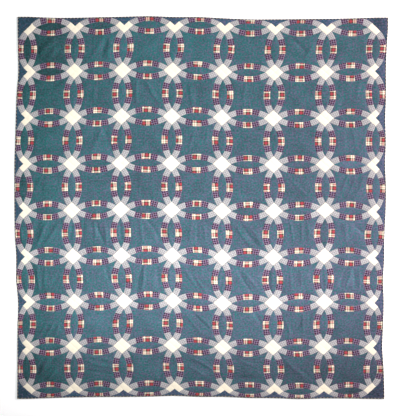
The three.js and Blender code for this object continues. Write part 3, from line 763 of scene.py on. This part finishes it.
# back and filling under the face, flat on the floor
back = dict(thick=1.9, inset=0.004, steps=(60, 62))
inset, steps = back["inset"], back["steps"]
gridU, gridV = np.meshgrid(np.linspace(edges["left"] + inset, edges["right"] - inset, steps[0] + 1),
                           np.linspace(edges["bottom"] + inset, edges["top"] - inset, steps[1] + 1),
                           indexing="ij")
x, y = lie(gridU, gridV)
n, m = x.shape
k = np.arange(n * m).reshape(n, m)
quads = np.stack([k[:-1, :-1], k[1:, :-1], k[1:, 1:], k[:-1, 1:]], -1).reshape(-1, 4)
rim = np.concatenate([k[:-1, 0], k[-1, :-1], k[:0:-1, -1], k[0, :0:-1]])
walls = np.stack([rim + n * m, np.roll(rim, -1) + n * m, np.roll(rim, -1), rim], -1)
points = np.concatenate([np.stack([x, y, 0 * x + h], -1).reshape(-1, 3) for h in (back["thick"] / 1000, 0)])
faces = np.concatenate([quads, quads[:, ::-1] + n * m, walls])
mesh = bpy.data.meshes.new("quilt_back")
mesh.from_pydata(points.tolist(), [], faces.tolist())
mesh.uv_layers.new(name="cloth").data.foreach_set("uv", points[faces.ravel(), :2].ravel())
quiltBack = place(mesh, "quilt_back", backLook)
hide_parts("quilt_body")

# binding strips folded over the cut edge, mm: out from it, up
binding = dict(step=360, sway=0.35, uneven=0.10,
               section=[(-1.6, 3.7), (-1.2, 4.6), (0.2, 5.1), (1.6, 5.1), (3.1, 4.6), (4.2, 3.6),
                        (4.6, 2.4), (4.5, 1.1), (3.9, 0.35), (2.8, 0.05), (1.4, 0.05), (0.2, 0.05)])
corners = [(edges["left"], edges["bottom"]), (edges["right"], edges["bottom"]),
           (edges["right"], edges["top"]), (edges["left"], edges["top"])]
outlines = []
for side in range(4):
    (u0, v0), (u1, v1) = corners[side], corners[(side + 1) % 4]
    s = np.linspace(0, 1, binding["step"] + 1)
    outlines.append(np.stack(lie(u0 + (u1 - u0) * s, v0 + (v1 - v0) * s), -1) * 1000)


def outward(line):
    way = np.diff(line, axis=0)
    way = np.stack([way[:, 1], -way[:, 0]], -1)
    return way / np.linalg.norm(way, axis=1)[:, None]


for side, name in enumerate(("bottom", "right", "top", "left")):
    line = outlines[side]
    out = outward(line)
    before, after = outward(outlines[side - 1])[-1:], outward(outlines[(side + 1) % 4])[:1]
    first, last = np.concatenate([before, out]), np.concatenate([out, after])
    way = (first + last) / (1 + (first * last).sum(1))[:, None]
    along = np.concatenate([[0], np.cumsum(np.linalg.norm(np.diff(line, axis=0), axis=1))])
    ends = np.minimum(along, along[-1] - along)
    sway = noise(along / 34, along * 0, 40 + side) * rise(ends, 30)
    full = 1 + binding["uneven"] * noise(along / 21, along * 0, 50 + side) * rise(ends, 30)
    sec = np.array(binding["section"])
    outBy = sec[None, :, 0] + binding["sway"] * sway[:, None] * (sec[None, :, 0] < 2)
    upBy = sec[None, :, 1] * full[:, None]
    flatAt = line[:, None, :] + way[:, None, :] * outBy[..., None]
    points = np.concatenate([flatAt, upBy[..., None]], -1) / 1000
    n, m = points.shape[:2]
    k = np.arange(n * m).reshape(n, m)
    faces = np.stack([k[:-1, :-1], k[:-1, 1:], k[1:, 1:], k[1:, :-1]], -1).reshape(-1, 4)[:, ::-1]
    over = np.concatenate([[0], np.cumsum(np.linalg.norm(np.diff(sec, axis=0), axis=1))])
    cloth = np.stack(np.broadcast_arrays(along[:, None], over[None, :]), -1).reshape(-1, 2) / 1000
    mesh = bpy.data.meshes.new("binding_" + name)
    mesh.from_pydata(points.reshape(-1, 3).tolist(), [], faces.tolist())
    mesh.uv_layers.new(name="cloth").data.foreach_set("uv", cloth[faces.ravel()].ravel())
    mesh.polygons.foreach_set("use_smooth", np.ones(len(faces), bool))
    piece = place(mesh, "binding_strip_" + name, edgeLook)
    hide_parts("binding_" + name)
print("back and binding ready")

# stage
bpy.ops.mesh.primitive_plane_add(size=14, location=(0, 0, -0.0006))
floor = bpy.context.object
floor.name = "floor"
floorLook = bpy.data.materials.new("paleFloor")
floorLook.use_nodes = True
floorShader = floorLook.node_tree.nodes["Principled BSDF"]
floorShader.inputs["Base Color"].default_value = (0.92, 0.92, 0.92, 1)
floorShader.inputs["Roughness"].default_value = 0.9
floorShader.inputs["Emission Color"].default_value = (1, 1, 1, 1)
floorShader.inputs["Emission Strength"].default_value = 0.35
floor.data.materials.append(floorLook)


def softLight(name, spot, aim, size, power, spread, colour):
    lamp = bpy.data.lights.new(name, "AREA")
    lamp.shape = "RECTANGLE"
    lamp.size, lamp.size_y = size
    lamp.energy = power
    lamp.spread = math.radians(spread)
    lamp.color = colour
    lampObject = bpy.data.objects.new(name, lamp)
    scene.collection.objects.link(lampObject)
    lampObject.location = spot
    way = np.array(aim) - np.array(spot)
    tilt = math.atan2(math.hypot(way[0], way[1]), -way[2])
    lampObject.rotation_euler = (tilt, 0, math.atan2(-way[0], way[1]))
    return lampObject


softLight("sideBox", (6.5, 2.6, 2.6), (0, 0, 0), (2.0, 2.0), 1010, 180, (1.0, 0.90, 0.91))
softLight("overBox", (-0.3, 0.25, 1.6), (-0.3, 0.25, 0), (1.6, 0.8), 25, 180, (0.94, 1.0, 1.0))
softLight("bandBox", (0.0, -0.5, 1.6), (0.0, -0.5, 0), (2.4, 0.2), 4.0, 60, (1.0, 0.98, 0.98))
world = bpy.data.worlds.new("studio")
world.use_nodes = True
world.node_tree.nodes["Background"].inputs[0].default_value = (0.86, 1, 1, 1)
world.node_tree.nodes["Background"].inputs[1].default_value = 0.12
scene.world = world

view = dict(lens=85.0, frame=2.572, spot=(0.0420, -0.0027))
eye = bpy.data.cameras.new("eye")
eye.lens, eye.sensor_width = view["lens"], 36.0
eye.clip_end = 50
eyeObject = bpy.data.objects.new("eye", eye)
scene.collection.objects.link(eyeObject)
eyeObject.location = (*view["spot"], view["frame"] * view["lens"] / 36.0)
scene.camera = eyeObject
print("stage ready")
